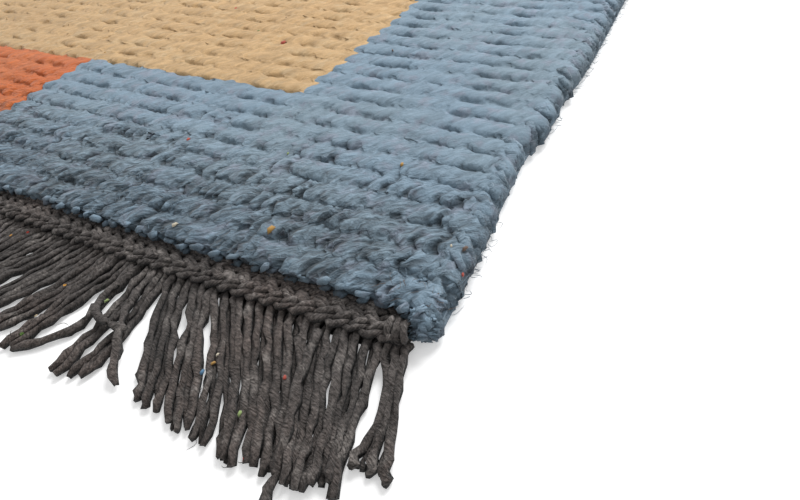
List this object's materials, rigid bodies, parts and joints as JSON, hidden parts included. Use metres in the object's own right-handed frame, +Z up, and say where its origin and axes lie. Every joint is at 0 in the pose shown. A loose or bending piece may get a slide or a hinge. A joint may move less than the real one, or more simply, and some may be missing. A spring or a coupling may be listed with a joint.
{
  "type": "hand-knotted nepalese wool rug with braided, fringed ends",
  "caption": "Thick hand-knotted wool rug lying flat, its pile in raised rows and plain colour blocks, with a woven band, braid and loose fringe at both short ends.",
  "frame": {"origin": "on the floor under the middle of the rug", "axes": "+X along the knot rows, +Y along the rug from its near fringed end to its far one, +Z up out of the pile"},
  "size_m": [1.209, 1.856, 0.019],
  "materials": {
    "wool_blue": "soft matt wool pile, muted blue",
    "wool_beige": "soft matt wool pile, warm beige",
    "wool_coral": "soft matt wool pile, coral",
    "wool_charcoal": "matt twisted wool yarn, warm charcoal with coloured flecks"
  },
  "bodies": {
    "root": {"pile": "wool_blue", "end_fringe_near": "wool_charcoal", "end_fringe_far": "wool_charcoal", "braid_near": "wool_charcoal", "braid_far": "wool_charcoal"}
  },
  "joints": []
}
